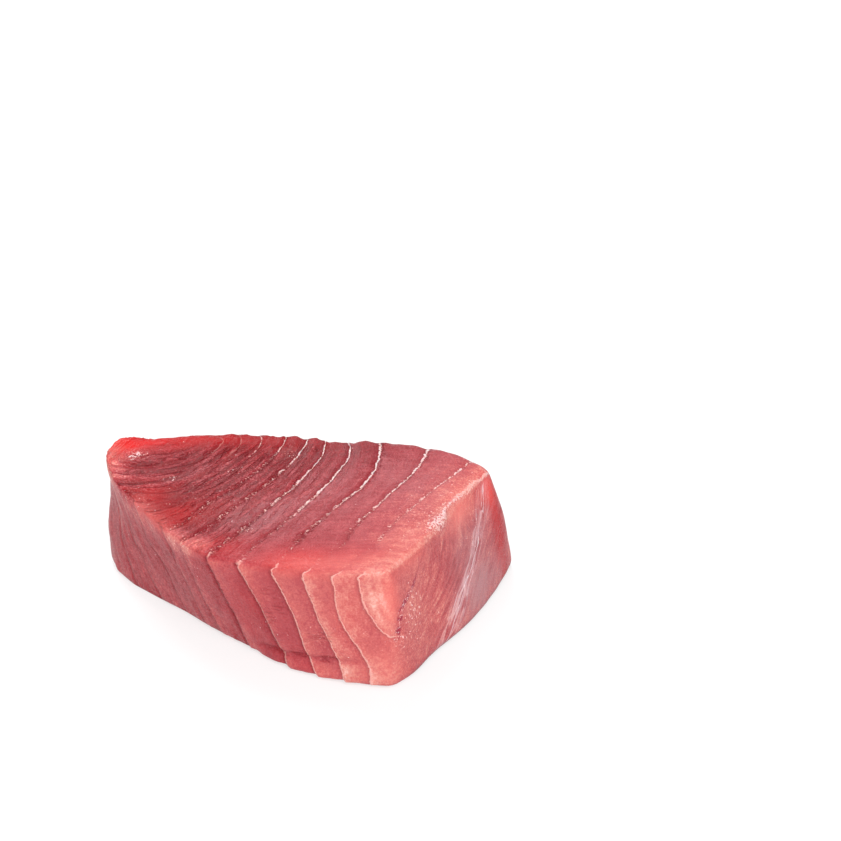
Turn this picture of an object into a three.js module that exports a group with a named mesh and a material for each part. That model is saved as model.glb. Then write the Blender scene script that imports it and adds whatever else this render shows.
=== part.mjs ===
// A portion of raw skipjack tuna: a wedge of boned, skinned loin, cut with a knife on every side.
// It is one solid. Seen from above it is a triangle with a bent front side: it is narrow at the left,
// has its square corner at the front and its widest side at the right, and its long back is bowed.
// Millimetres, +Z up. The origin is under the middle of the box round the portion, on the board.
import * as THREE from "three";
import { mergeVertices } from "three/addons/utils/BufferGeometryUtils.js";

// Driving dimensions
const THICKNESS = 36; // between the two knife cuts, top and underside
const EDGE_RADIUS = 2.4; // soft flesh never keeps a sharp edge
const SWELL = 0.012; // the sides slump outwards at half height by this share of their distance from the middle
const FACET = 2.15; // the usual side of a facet
const EDGE_CROWDING = 0.45; // 0 spaces the facets evenly, and towards 1 they crowd at the edges
const TIP_LIP = 1.8; // how far the top edge hangs out over the neck of the narrow end
const TIP_LIP_FALL = 6; // the power by which that lip dies away along the portion and down its side

// The four top edges, each as [x, y, drop below THICKNESS]. The front one dips at its bend.
const TOP_FRONT = [
  [-51.6, 11.2, 0.3],
  [-45.4, 0.8, 1.5],
  [-35.8, -12.4, 3],
  [-26.2, -21.2, 4.2],
  [-17.9, -25.4, 3.3],
  [-9.2, -28.6, 2.4],
  [7.8, -33.6, 0.9],
  [22.6, -36.2, -0.2],
];
const TOP_RIGHT = [
  [22.6, -36.2, -0.2],
  [33.8, -15.4, 1.2],
  [43.8, 8.4, 2],
  [50.4, 19.8, 2.1],
];
const TOP_BACK = [
  [-46, 34.4, 0.8],
  [-41, 34.3, 1.9],
  [-33, 34.3, 0.2],
  [-26, 34.3, -0.8],
  [-17, 34.1, -1],
  [-3, 33, -1.2],
  [12, 31.8, 0],
  [19, 31, -0.9],
  [31, 29.6, -0.3],
  [42, 25.6, 0.2],
  [50.4, 19.8, 2.1],
];
const TOP_LEFT = [
  [-51.6, 11.2, 0.3],
  [-54, 18.6, 0],
  [-55.2, 26, 0],
  [-53.8, 32, 0],
  [-50.6, 34.4, 0],
  [-46, 34.4, 0.8],
];

// The four edges on the board, each as [x, y]. The front side leans in towards its foot.
const FOOT_FRONT = [
  [-50, 13.2],
  [-41.4, 5],
  [-33.4, -2],
  [-26.4, -9],
  [-12.3, -21],
  [-5.8, -26.4],
  [2, -30.8],
  [14.7, -36],
  [23.6, -37.3],
];
const FOOT_RIGHT = [
  [23.6, -37.3],
  [29.6, -31.2],
  [34.6, -22.3],
  [45, -7.4],
  [52.8, 8.5],
  [57.8, 24.6],
];
const FOOT_BACK = [
  [-47, 35.4],
  [-26, 35.8],
  [0, 34.6],
  [26, 33],
  [44, 30.4],
  [57.8, 24.6],
];
const FOOT_LEFT = [
  [-50, 13.2],
  [-54.6, 19],
  [-56.8, 25.4],
  [-56.4, 31],
  [-53, 35],
  [-47, 35.4],
];

// A soft line through an edge's points, walked evenly from 0 to 1.
function edge(points, height) {
  const curve = new THREE.CatmullRomCurve3(
    points.map(([x, y, drop = 0]) => new THREE.Vector3(x, y, height - drop)),
    false,
    "centripetal",
  );
  return (share) => curve.getPointAt(THREE.MathUtils.clamp(share, 0, 1));
}

// The sheet that four edges span, as a function of the shares across and back. It is their Coons patch.
function sheet(front, right, back, left) {
  const corner = [front(0), front(1), back(0), back(1)];
  return (across, deep) => {
    const point = new THREE.Vector3();
    point.addScaledVector(front(across), 1 - deep).addScaledVector(back(across), deep);
    point.addScaledVector(left(deep), 1 - across).addScaledVector(right(deep), across);
    point.addScaledVector(corner[0], -(1 - across) * (1 - deep)).addScaledVector(corner[1], -across * (1 - deep));
    point.addScaledVector(corner[2], -(1 - across) * deep).addScaledVector(corner[3], -across * deep);
    return point;
  };
}

const top = sheet(...[TOP_FRONT, TOP_RIGHT, TOP_BACK, TOP_LEFT].map((points) => edge(points, THICKNESS)));
const foot = sheet(...[FOOT_FRONT, FOOT_RIGHT, FOOT_BACK, FOOT_LEFT].map((points) => edge(points, 0)));

// Facets crowd towards both ends of a side, where its edges are rounded.
function crowded(share) {
  return share - (EDGE_CROWDING * Math.sin(2 * Math.PI * share)) / (2 * Math.PI);
}

// A point on a plain block, moved onto the same block with rounded edges.
function rounded(point, size) {
  const inner = point.clone();
  for (const axis of ["x", "y", "z"])
    inner[axis] = THREE.MathUtils.clamp(point[axis], EDGE_RADIUS, size[axis] - EDGE_RADIUS);
  return inner.add(point.clone().sub(inner).setLength(EDGE_RADIUS));
}

function portion() {
  const size = new THREE.Vector3(100, 56, THICKNESS); // mean length, mean depth and thickness
  const [across, deep, high] = size.toArray().map((side) => Math.round(side / FACET));
  const block = new THREE.BoxGeometry(1, 1, 1, across, deep, high);
  block.deleteAttribute("normal");
  block.deleteAttribute("uv");
  const geometry = mergeVertices(block);
  const place = geometry.getAttribute("position");
  for (let i = 0; i < place.count; i++) {
    const share = new THREE.Vector3().fromBufferAttribute(place, i).addScalar(0.5);
    const plain = new THREE.Vector3(crowded(share.x), crowded(share.y), crowded(share.z)).multiply(size);
    const soft = rounded(plain, size).divide(size);
    const below = foot(soft.x, soft.y);
    const point = below.clone().lerp(top(soft.x, soft.y), soft.z);
    const swell = 1 + SWELL * 4 * soft.z * (1 - soft.z);
    const lip = TIP_LIP * ((1 - soft.x) * soft.z) ** TIP_LIP_FALL;
    place.setXYZ(i, point.x * swell - lip, point.y * swell, point.z);
  }
  geometry.computeBoundingBox();
  const middle = geometry.boundingBox.getCenter(new THREE.Vector3());
  geometry.translate(-middle.x, -middle.y, -geometry.boundingBox.min.z);
  geometry.computeVertexNormals();
  return geometry;
}

// Raw tuna flesh: wet, even, and between wine red and salmon.
const flesh = new THREE.MeshStandardMaterial({ color: "#c8585f", roughness: 0.35, metalness: 0 });

const tuna = new THREE.Group();
const piece = new THREE.Mesh(portion(), flesh);
piece.name = "tuna_portion";
tuna.add(piece);

export default tuna;
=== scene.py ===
import math

import bmesh
import bpy
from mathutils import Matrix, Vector, geometry, noise


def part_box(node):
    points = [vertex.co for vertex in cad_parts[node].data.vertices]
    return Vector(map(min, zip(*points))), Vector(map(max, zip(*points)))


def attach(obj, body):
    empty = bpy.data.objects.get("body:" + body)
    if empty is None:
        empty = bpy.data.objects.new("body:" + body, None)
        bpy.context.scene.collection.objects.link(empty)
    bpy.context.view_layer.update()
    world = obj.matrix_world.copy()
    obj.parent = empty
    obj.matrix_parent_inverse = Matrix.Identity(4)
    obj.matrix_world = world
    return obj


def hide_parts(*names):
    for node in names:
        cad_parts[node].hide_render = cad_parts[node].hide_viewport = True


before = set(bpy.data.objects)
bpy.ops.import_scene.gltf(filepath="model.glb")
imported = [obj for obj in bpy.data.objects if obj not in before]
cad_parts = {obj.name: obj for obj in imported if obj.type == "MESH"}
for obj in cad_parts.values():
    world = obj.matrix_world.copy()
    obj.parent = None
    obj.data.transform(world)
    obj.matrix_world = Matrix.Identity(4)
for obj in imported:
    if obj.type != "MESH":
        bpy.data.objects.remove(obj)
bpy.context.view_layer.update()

MM = 0.001

# The camera. It stands in front of the long cut side and looks down on the portion, whose left end
# and right side both show. It aims at the spot of the table that lies in the middle of the picture.
ELEVATION = math.radians(30)
DISTANCE = 800 * MM
AIM = Vector((31.2, 105.9, 0)) * MM
SENSOR = 36  # mm across
PICTURE_SIDE = 841  # pixels
PIXELS_PER_MM = 3.2  # at the spot that it aims at

camera_data = bpy.data.cameras.new("camera")
camera_data.sensor_width = SENSOR
camera_data.lens = SENSOR * PIXELS_PER_MM * DISTANCE / MM / PICTURE_SIDE
camera = bpy.data.objects.new("camera", camera_data)
camera.location = AIM + DISTANCE * Vector((0, -math.cos(ELEVATION), math.sin(ELEVATION)))
camera.rotation_euler = (math.pi / 2 - ELEVATION, 0, 0)
bpy.context.scene.collection.objects.link(camera)
bpy.context.scene.camera = camera

# The body of the portion. It is one piece of raw loin with no skin or bone, cut with a knife on every
# side. The cut block is copied, its blunt front corner is worked softer, and its surface is made fine.
FINE_LEVELS = 2
SAME_POINT = 0.01 * MM
JOIN_ANGLE = math.radians(60)  # triangles that lie flatter to each other than this make one face
CORNER = Vector((23.5, -36.5)) * MM  # the front upright corner, seen from above
CORNER_REACH = 12 * MM
CORNER_FOOT = 4 * MM  # below this the corner stays square
CORNER_PASSES = 12
THIN_LEFT, THIN_FRONT, THIN_OVER = -24 * MM, 18 * MM, 26 * MM  # beyond these the top edge is softest
THIN_STEP = 1 * MM  # each pass begins this much further left
THIN_PASSES = 8
SOFTENING = 0.5  # how far a pass draws a point to the middle of its neighbours

bm = bmesh.new()
bm.from_mesh(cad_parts["tuna_portion"].data)
bmesh.ops.remove_doubles(bm, verts=bm.verts, dist=SAME_POINT)
bmesh.ops.join_triangles(
    bm,
    faces=bm.faces,
    angle_face_threshold=JOIN_ANGLE,
    angle_shape_threshold=JOIN_ANGLE,
)
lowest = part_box("tuna_portion")[0]
blunt = [
    vert
    for vert in bm.verts
    if (vert.co.xy - CORNER).length < CORNER_REACH and lowest.z + CORNER_FOOT < vert.co.z
]
for _ in range(CORNER_PASSES):
    bmesh.ops.smooth_vert(bm, verts=blunt, factor=SOFTENING, use_axis_x=True, use_axis_y=True)
for done in range(THIN_PASSES):
    thin = [
        vert
        for vert in bm.verts
        if vert.co.x < THIN_LEFT - done * THIN_STEP and vert.co.y < THIN_FRONT and THIN_OVER < vert.co.z
    ]
    bmesh.ops.smooth_vert(
        bm,
        verts=thin,
        factor=SOFTENING,
        use_axis_x=True,
        use_axis_y=True,
        use_axis_z=True,
    )
mesh = bpy.data.meshes.new("tuna_flesh")
bm.to_mesh(mesh)
bm.free()
tuna = bpy.data.objects.new("tuna_flesh", mesh)
bpy.context.scene.collection.objects.link(tuna)
fine = tuna.modifiers.new("fine surface", "SUBSURF")
fine.levels = fine.render_levels = FINE_LEVELS
bpy.context.view_layer.objects.active = tuna
bpy.ops.object.modifier_apply(modifier=fine.name)

# The flakes. Sheets of connective tissue part the muscle into flakes, which curl round a core near
# the back left corner. Each sheet is given where it meets the top, and how it runs down from there.
# Here and in the next two sections sizes are in mm, and a pair says where a soft step starts and ends.
THICKNESS = 36
CORE = (-39.4, 15.3)  # the near end of the core
CORE_LENGTH = 17
CORE_TURN = math.radians(56.5)  # the core's way across the top, from +X towards +Y
ROUNDNESS = 4  # 2 would bend the sheets round the core's ends as half circles
SWAY_SKEW = 1.4  # the sheets' bend lies lower than halfway down
CURL_START = 5
CURL_REACH = 25
BOW_MIDDLE = -18
BOW_REACH = 9
PINCH = 3.5  # the sheets crowd towards the core's near end
PINCH_AT = (-32, 4, 36)
PINCH_REACH = (12, 12, 16)
END_FOOT = 7.5  # how far out the sheets are at the foot of the narrow end's face, level with the core
END_RISE = 0.18  # how much further out they are for each mm up that face
END_CROWDING = 0.5  # and for each mm across it
END_ACROSS = (8, 2)  # how far across the core that face's sheets take over
LEFT_END = -55
BACK_SLANT = 0.5
BACK_CORNER = (46, 24)  # how far back they do so, with BACK_SLANT mm more for each mm from LEFT_END
HOOK = 1.6  # how far the sheets' ends bend to the right over the front edge
HOOK_BACK = (-13, -21)  # how far back the hook starts
HOOK_OUT = (40, 48)  # how far out the hooked sheets start
WAVES = [(0.35, 8, 0), (0.2, 3, 7)]  # each with its height, size and seed
LEFT_WAVES = [(0.9, 7, 11)]
LEFT_WAVES_START = (-16, -26)
# For each sheet: how far it is from the core, how much further at the foot, how much it sways on
# the way down, how far its back end trails towards the core, and how far it bows out near the front.
SHEETS = [
    (5, 0, 0, 0, 0),
    (10, 0, 0, 0.5, 0),
    (15.2, 0.5, 0, 0.8, 0),
    (20.8, 2.5, 0, 0.7, 0),
    (26.2, 5, 0, 0.8, -2.2),
    (32.6, 8.2, 0.3, 2.4, -0.6),
    (40.9, 13.6, 0, 5.2, -1.2),
    (48.9, 14, 0.8, 6, -0.6),
    (57.6, 12.4, -0.5, 2.6, 2),
    (66.2, 9.8, -1.7, -3, 1),
    (71.7, 18, -2.4, 0, 0),
    (82, 9, 0, 0, 0),
]


def soft_step(value, start, end):
    """0 up to start, 1 from end on, and soft between them. start may be the larger one."""
    share = min(1.0, max(0.0, (value - start) / (end - start)))
    return share * share * (3 - 2 * share)


def hump(value, middle, reach):
    """1 where the value is at the middle, falling away over reach to both sides."""
    return math.exp(-(((value - middle) / reach) ** 2))


def patch(place, middle, reach):
    """1 in the middle of a soft patch, falling away over reach."""
    return math.exp(-sum(((a - b) / c) ** 2 for a, b, c in zip(place, middle, reach)))


def lumps(place, size, seed):
    """Smooth noise from about -1 to 1 whose lumps are about size across."""
    return noise.noise(place / size + Vector((seed, -seed, 2 * seed)))


def waves(place, listed):
    """The lumps of a list, each with its height, size and seed, added up."""
    return sum(height * lumps(place, size, seed) for height, size, seed in listed)


def beside_core(place):
    """How far a place is along the core and across from it."""
    east, north = place.x - CORE[0], place.y - CORE[1]
    along = east * math.cos(CORE_TURN) + north * math.sin(CORE_TURN)
    across = east * math.sin(CORE_TURN) - north * math.cos(CORE_TURN)
    return along, across


def flake_number(place, along, across, top):
    """A whole number on each sheet, which rises evenly from one sheet to the next."""
    past = max(0.0, along - CORE_LENGTH, -along)
    out = (abs(across) ** ROUNDNESS + past**ROUNDNESS) ** (1 / ROUNDNESS)
    round_back = place.y + BACK_SLANT * (place.x - LEFT_END)
    on_end = (1 - top) * soft_step(across, *END_ACROSS) * soft_step(round_back, *BACK_CORNER)
    out += (END_FOOT + END_RISE * place.z + END_CROWDING * across - out) * on_end
    out -= HOOK * top * soft_step(place.y, *HOOK_BACK) * soft_step(out, *HOOK_OUT)
    out += PINCH * patch(place, PINCH_AT, PINCH_REACH)
    out += waves(place, WAVES)
    out += (1 - top) * soft_step(place.x, *LEFT_WAVES_START) * waves(place, LEFT_WAVES)
    down = max(0.0, 1 - place.z / THICKNESS)
    back = max(0.0, place.y - CURL_START) / CURL_REACH
    near = hump(place.y, BOW_MIDDLE, BOW_REACH)
    before = 0
    for number, (start, lean, sway, curl, bow) in enumerate(SHEETS):
        bend = sway * math.sin(2 * math.pi * down**SWAY_SKEW)
        here = start + lean * down + bend - curl * back * back + bow * near
        if out < here:
            break
        before = here
    return number + (out - before) / (here - before)


# The relief. Flakes stand a little proud of each other like shingles down the sides, and swell between
# their sheets on top. The knife left ripples and a torn edge, and the board squeezed out a lip.
def between(values, position):
    """The value at a position between those of a list."""
    first = min(int(max(position, 0)), len(values) - 2)
    share = min(1.0, max(0.0, position - first))
    return values[first] * (1 - share) + values[first + 1] * share


def patches(place, listed):
    """The soft patches of a list, each with its strength, middle and reach, added up."""
    return sum(strength * patch(place, middle, reach) for strength, middle, reach in listed)


def path_gap(place, path):
    """How far a place is from a path of straight pieces."""
    gaps = []
    for start, end in zip(path, path[1:]):
        start, end = Vector(start), Vector(end)
        nearest, share = geometry.intersect_point_line(place, start, end)
        nearest = start.lerp(end, min(1.0, max(0.0, share)))
        gaps.append((place - nearest).length)
    return min(gaps)


SILVER_PATH = [-18, -13, -6.5, 4, 11, 14.5, 18]  # how far back the silvery streak is, step by step up
SILVER_STEP = 6
SILVER_SLANT = 0.8  # how far across the streak a place is for each mm back


def beside_silver(place):
    """How far a place on the right side is from its silvery streak."""
    return SILVER_SLANT * (place.y - between(SILVER_PATH, place.z / SILVER_STEP))


SILVER_GRAIN = 90  # parts the grain of the right side from that of the rest
FLAKE = 7  # the usual width of a flake
CORE_FLAKES = 4
CORE_FLAKE = 0.62  # how many mm of grain there are by the core for each mm
CORE_GRAIN = 16.4
CORE_FADE = (3, 4.5)  # in sheets
BEND_AT = -36  # where the fibres by the core flatten out
BEND_REACH = 6
BEND_STEEPNESS = 1.5
BEND_BACK = 0.35


def grain_across(place, top, right, number):
    """Steady along a fibre and rising across the fibres, in mm. They run along the sheets, but flatten
    out at the narrow end of the top, and on the right side they run along its silvery streak."""
    right_of_bend = BEND_REACH * math.log1p(math.exp((place.x - BEND_AT) / BEND_REACH))
    left_of_bend = right_of_bend - (place.x - BEND_AT)
    flattened = BEND_STEEPNESS * right_of_bend + BEND_BACK * left_of_bend
    inner = FLAKE * CORE_FLAKES + CORE_FLAKE * (flattened - place.y - CORE_GRAIN)
    sheets = FLAKE * number
    on_top = inner + (sheets - inner) * soft_step(number, *CORE_FADE)
    off_top = SILVER_GRAIN + beside_silver(place) if right > 0.5 else sheets
    return off_top + (on_top - off_top) * top


SHINGLE_STEP = 0.88  # how far across a flake the step up to its right sheet starts
SHINGLE_FALL = 0.9  # 1 would make the shingle fall evenly up to there


def shingle(number):
    """The height across one flake, down from its left sheet to the foot of the next sheet's step."""
    share = number % 1
    if share < SHINGLE_STEP:
        return (1 - share) ** SHINGLE_FALL
    return (share - SHINGLE_STEP) / (1 - SHINGLE_STEP)


LIP_LEFT, LIP_RIGHT = -14, 20
LIP_LEFT_END, LIP_RIGHT_END = 5, 14  # the lengths over which it grows and fades
LIP = 0.8
LIP_HEIGHT = 1.6
LIP_REACH = 1.9
FOLD = 0.6
FOLD_HEIGHT = 4.4  # at its left end
FOLD_RISE = 0.12  # for each mm to the right
FOLD_REACH = 0.9


def foot_lip(place):
    """The foot of the long side: a lip that the board has squeezed out, and the fold over it."""
    reach = soft_step(place.x, LIP_LEFT, LIP_LEFT + LIP_LEFT_END)
    reach *= soft_step(place.x, LIP_RIGHT, LIP_RIGHT - LIP_RIGHT_END)
    crease = FOLD_HEIGHT + FOLD_RISE * (place.x - LIP_LEFT)
    return reach * hump(place.z, LIP_HEIGHT, LIP_REACH), reach * hump(place.z, crease, FOLD_REACH)


TORN = 0.7
TORN_LEFT, TORN_FOOT = 22, 28  # the torn strip lies right of and over these
TORN_WIDTH = 0.6
TORN_WAVES = [(0.3, 2.5, 5)]
FLAP = [(3, (35, -9, 34), (4, 5, 4))]  # how much wider it is where a flap has come off
TORN_BACK_WIDTH = 0.4
TORN_BACK = (4, 12)
TORN_FAINT = 0.45  # its strength in front
TORN_GROWTH = (-16, -9)
TORN_LOSS = 0.4
TORN_FADE = (4, 10)
TORN_PATH = [
    (27, -24, 35.3),
    (31.1, -17.4, 34.8),
    (33.2, -12.7, 34.6),
    (36.5, -6.5, 33.8),
    (37.8, -0.8, 34.3),
    (42.8, 7.8, 33.5),
    (48.8, 18.5, 33.4),
]


def torn_edge(place):
    """The ragged strip along the top edge of the right side, widest where a flap has come off."""
    if place.x < TORN_LEFT or place.z < TORN_FOOT:
        return 0.0
    width = TORN_WIDTH + patches(place, FLAP) + waves(place, TORN_WAVES)
    width += TORN_BACK_WIDTH * soft_step(place.y, *TORN_BACK)
    strength = TORN_FAINT + (1 - TORN_FAINT) * soft_step(place.y, *TORN_GROWTH)
    strength -= TORN_LOSS * soft_step(place.y, *TORN_FADE)
    return strength * hump(path_gap(place, TORN_PATH), 0, width)


FACES_UP = (0.55, 0.85)  # how far the normal rises where a place starts to count as top
FACES_ASIDE = (0.8, 0.45)
FACES_RIGHT = (0.75, 0.35)
SHINGLE = 0.8
SHINGLE_LOW = 0.4  # the share of that height which the shingles have near the core
SHINGLE_GROWTH = (4, 6.5)  # in sheets
PILLOW = 0.25
PILLOW_LEVEL = 0.6
RIPPLE = 0.45
RIPPLE_ON_SIDES = 0.7
RIPPLE_SIZE = (1.7, 14, 9)  # across the fibres, along them and down
RIPPLE_GROWTH = (10, 5)  # in sheets
UNEVEN = [(0.28, 14, 3), (0.12, 5, 4)]
BACK_EDGE_DEEP = (25, 30)
BACK_EDGE_HIGH = (28, 33)
BACK_EDGE_WAVES = [(0.5, 3.5, 9)]
# Each bulge or hollow has its height, its middle and its reach.
BULGES = [
    (0.9, (56, 21, 21), (6, 8, 12)),
    (0.4, (-57, 24, 12), (8, 11, 7)),
    (-1.3, (-55, 20, 23), (6, 9, 7)),
]
FLAT_FOOT = (0.1, 1.5)  # how high over the board the relief of the underside starts


def relief(place, normal, number, grain, torn):
    """How far the surface stands out of the plain block."""
    top = soft_step(normal.z, *FACES_UP)
    back_edge = soft_step(place.y, *BACK_EDGE_DEEP) * soft_step(place.z, *BACK_EDGE_HIGH)
    side = soft_step(abs(normal.z), *FACES_ASIDE)
    front = side * soft_step(normal.x, *FACES_RIGHT)
    share = number % 1
    raised = waves(place, UNEVEN)
    grown = SHINGLE_LOW + (1 - SHINGLE_LOW) * soft_step(number, *SHINGLE_GROWTH)
    raised += front * SHINGLE * grown * (shingle(number) - 0.5)
    raised += top * PILLOW * (4 * share * (1 - share) - PILLOW_LEVEL)
    streak = Vector([length / size for length, size in zip(grain, RIPPLE_SIZE)])
    ripple = RIPPLE * noise.noise(streak) * soft_step(number, *RIPPLE_GROWTH)
    raised += (top + RIPPLE_ON_SIDES * side) * ripple
    lip, fold = foot_lip(place)
    raised += front * (LIP * lip - FOLD * fold)
    raised += TORN * torn + back_edge * waves(place, BACK_EDGE_WAVES) + patches(place, BULGES)
    return raised * soft_step(place.z, *FLAT_FOOT) if normal.z < 0 else raised


# The tints. Dark muscle lies near the core, and the flesh pales towards the thick end. Some patches
# have a painted glow of light shining through thin flesh, partly the flesh's own bright red, and some
# lie under a mauve film with a painted sheen. Painted shade, shadows, highlights and glints come in
# too. Each patch has its strength, middle and reach, and a list of thirteen values has one for the
# core and then one for each sheet outwards.
RIM_TURN = (0.99, 0.85)  # how far the normal rises where the top turns down
RIM_FRONT = (0, -0.15)  # how far the normal points back there
RIM_SIDE = (0.3, 0.7)  # how far it rises where the rim turns into the side
THIN_EDGE_PATH = [
    (-54.6, 25, 35.5),
    (-53, 17, 35.5),
    (-51.3, 11, 33.5),
    (-49, 7, 30.5),
    (-45, 1, 29.5),
    (-35.5, -11, 29.5),
    (-32, -15, 30),
]
THIN_EDGE_END = -20
THIN_EDGE_REACH = 3
STEP_PATH = [(-46, 2, 34), (-39, -7, 32.6), (-33, -13, 32.6), (-26.5, -16, 32)]
STEP_END = -15
STEP_REACH = 3.2
RED_EDGE_PATH = [(49.8, 19, 31.5), (55, 16, 2.6)]
RED_EDGE_REACH = 3
RED_EDGE_WAVES = [(1, 7, 6)]


def edge_marks(place, normal, right):
    """How far a place lies on the front rim of the top, its thin left edge, the step below that edge,
    and the red back edge of the right side. Each is 1 in the middle."""
    turned = soft_step(normal.z, *RIM_TURN) * soft_step(normal.y, *RIM_FRONT) * (1 - right)
    rim = turned * soft_step(normal.z, *RIM_SIDE)
    thin_edge = step = 0.0
    if place.x < THIN_EDGE_END:
        thin_edge = hump(path_gap(place, THIN_EDGE_PATH), 0, THIN_EDGE_REACH)
    if place.x < STEP_END:
        step = hump(path_gap(place, STEP_PATH), 0, STEP_REACH)
    red_reach = RED_EDGE_REACH + waves(place, RED_EDGE_WAVES)
    red_edge = right * hump(path_gap(place, RED_EDGE_PATH), 0, red_reach)
    return rim, thin_edge, step, red_edge


PALE_TOP = [0.12, 0.12, 0.13, 0.13, 0.12, 0.14, 0.22, 0.31, 0.38, 0.49, 0.63, 0.73, 0.77]
PALE_SIDE = [0.45, 0.45, 0.45, 0.45, 0.45, 0.46, 0.47, 0.51, 0.58, 0.69, 0.72, 0.75, 0.71]
PALE_RIGHT = 0.58
SHADE = 0.3  # how much a flake of the sides darkens from its left sheet to its right one
SHADE_GROWTH = (2, 6.5)  # in sheets
SHADE_FADE = (13, 8)
PALE_PATCHES = [
    # the narrow end
    (0.66, (-51.5, 31.5, 36), (7, 4.5, 6)),
    (0.3, (-54, 20, 33), (5, 9, 6)),
    (0.12, (-56, 24, 34.5), (3, 8, 4)),
    (-0.08, (-46, 33, 37), (10, 4, 5)),
    (-0.07, (-38, -3, 20), (8, 7, 10)),
    # the back edge
    (-0.2, (-34, 32, 37), (16, 4, 5)),
    (-0.21, (6, 27, 36), (24, 8, 5)),
    # the middle and the front of the top
    (0.09, (-3, 2, 35), (9, 9, 3)),
    (-0.34, (-40, 3, 35), (8, 6, 4)),
    (-0.37, (-32, -4, 34), (9, 5, 4)),
    (0.15, (-20, -24, 32), (12, 4, 4)),
    (0.08, (-12, -18, 34), (10, 6, 4)),
    (0.1, (-3, -25, 34.5), (9, 5, 3)),
    (-0.05, (6, -22, 35), (16, 6, 3)),
    (0.05, (5, -30, 35), (22, 7, 2)),
    # the right side and its top edge
    (0.16, (43, 3, 31), (6, 9, 3.5)),
    (0.05, (49, 15, 30), (4, 5, 5)),
    (-0.1, (46, 8, 23), (4, 6, 4)),
    (-0.1, (39, -8, 20), (5, 7, 7)),
    (0.12, (32, -22, 10), (8, 10, 9)),
    (0.1, (44, -10, 6), (10, 10, 5)),
    # the front corner and the long side
    (0.08, (20.5, -35.5, 28), (4, 3, 7)),
    (0.08, (28, -29, 24), (5, 7, 12)),
    (0.08, (30, -24, 24), (9, 12, 14)),
    (-0.1, (18, -36, 14), (4, 3, 6)),
    (0.1, (14, -34, 3), (12, 6, 5)),
]
# painted highlight where the top turns down at its front rim
RIM_HIGHLIGHT = 0.06
THIN_EDGE_PALE = 0.17
THIN_EDGE_LEFT = 1.2  # how strongly it pales at a flake's left sheet
THIN_EDGE_FALL = 0.6  # and how much less at its right sheet
STEP_PALE = 0.24
RED_EDGE_DARK = 0.3
STRIPES = [11.24, 11.46, 11.7]  # pale stripes inside the last flake of the long side
STRIPE_REACH = 0.08
STRIPE_PALE = 0.1
STRIPE_HIGH = (16, 26)
# Painted shadow along the foot of the sides, with a stronger painted contact shadow on the right side.
FOOT_SHADOW = 0.2
FOOT_SHADOW_LOW = (1.7, 0.4)
RIGHT_FOOT_SHADOW = 1.2  # how much darker the right side's foot is
RIGHT_FOOT_SHADOW_LOW = (3, 1)
RIGHT_CONTACT_SHADOW = 2  # the dark line right over the board
RIGHT_CONTACT_SHADOW_LOW = (1.6, 0.7)
RIGHT_SHADOW_START = (25, 33)
# painted shade in the fold over the lip
FOLD_SHADE = 0.16


def paleness(place, top, side, right, number, edges):
    """0 is dark wine and 1 is pale peach. It also holds painted shade across the flakes, a painted
    highlight on the front rim and painted shadow at the foot and in the fold.
    """
    rim, thin_edge, step, red_edge = edges
    side_pale = between(PALE_SIDE, number) * (1 - right) + PALE_RIGHT * right
    pale = between(PALE_TOP, number) * top + side_pale * (1 - top) + patches(place, PALE_PATCHES)
    shade = SHADE * soft_step(number, *SHADE_GROWTH) * soft_step(number, *SHADE_FADE)
    pale += shade * side * (0.5 - number % 1)
    # a painted highlight on the front rim
    pale += RIM_HIGHLIGHT * rim + STEP_PALE * step - RED_EDGE_DARK * red_edge
    pale += THIN_EDGE_PALE * thin_edge * (THIN_EDGE_LEFT - THIN_EDGE_FALL * (number % 1))
    stripes = sum(hump(number, middle, STRIPE_REACH) for middle in STRIPES)
    pale += STRIPE_PALE * stripes * side * soft_step(place.z, *STRIPE_HIGH)
    # Painted shadow along the foot, strongest on the right side, and painted shade in the fold.
    right_foot_shadow = RIGHT_FOOT_SHADOW * soft_step(place.z, *RIGHT_FOOT_SHADOW_LOW)
    right_foot_shadow += RIGHT_CONTACT_SHADOW * soft_step(place.z, *RIGHT_CONTACT_SHADOW_LOW)
    foot = soft_step(place.z, *FOOT_SHADOW_LOW) + soft_step(place.x, *RIGHT_SHADOW_START) * right_foot_shadow
    return pale - FOOT_SHADOW * foot * (1 - top) - FOLD_SHADE * foot_lip(place)[1] * side


LINE_WHOLE = [31, 29, 29, 29, 27, 27, 22, 16, 12, 6, 12, 20, 20]  # how far back a thread is whole
LINE_GONE = [29, 23, 22, 22, 20, 4, -16, -20, -20, -17, -26, -26, -26]  # how far back its last beads are
LINE_TOP = [0, 0.4, 0.4, 0.65, 0.8, 1, 1.07, 1.07, 1.03, 0.94, 0.7, 0.5, 0]
LINE_SIDE = [0, 0, 0, 0, 0, 0, 0, 0.5, 0.9, 1, 1, 0.95, 0]
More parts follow.
